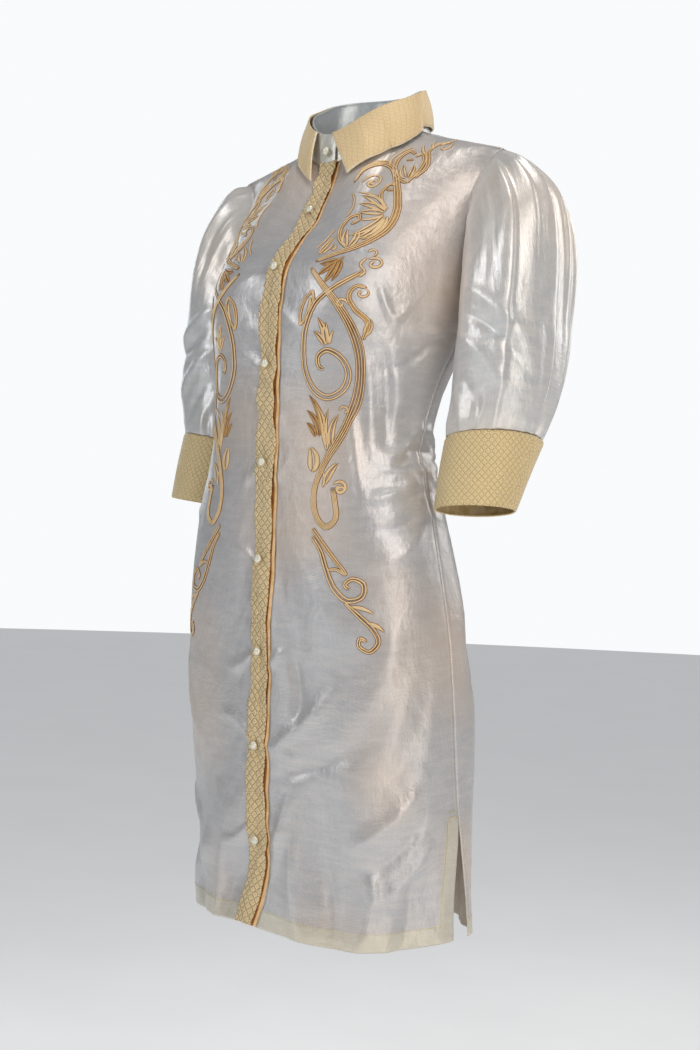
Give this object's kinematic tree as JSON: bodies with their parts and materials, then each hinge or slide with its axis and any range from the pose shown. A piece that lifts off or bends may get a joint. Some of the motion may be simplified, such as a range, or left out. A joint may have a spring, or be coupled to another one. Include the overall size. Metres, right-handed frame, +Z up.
{
  "type": "barong dress, worn form",
  "caption": "Collared button-front dress of shiny organza with puffed elbow sleeves, quilted bands and vine embroidery, hollow as worn.",
  "frame": {"origin": "where the dress rests on the wearer: midway between the shoulders at the base of the neck", "axes": "+Z up, +X towards the wearer's left, the front faces -Y"},
  "size_m": [0.5216, 0.2471, 0.9225],
  "materials": {
    "organza": "silver-white satin organza over a lining, long soft sheen, gold corded embroidery",
    "organza_sleeve": "silver-white satin organza, long soft sheen",
    "satin_stand": "pale satin, soft sheen",
    "brocade_band": "pale gold quilted brocade with an embossed diamond lattice",
    "brocade_collar": "pale gold quilted brocade with an embossed diamond lattice",
    "brocade_cuff": "pale gold quilted brocade with an embossed diamond lattice",
    "pearl": "pearl coating"
  },
  "bodies": {
    "root": {"front_right": "organza", "front_left": "organza", "back": "organza", "placket": "brocade_band", "under_placket": "brocade_band", "collar_stand": "satin_stand", "collar_leaf": "brocade_collar", "sleeve_right": "organza_sleeve", "cuff_right": "brocade_cuff", "sleeve_left": "organza_sleeve", "cuff_left": "brocade_cuff", "button_collar": "pearl", "button_1": "pearl", "button_2": "pearl", "button_3": "pearl", "button_4": "pearl", "button_5": "pearl", "button_6": "pearl", "button_7": "pearl", "button_8": "pearl"}
  },
  "joints": []
}
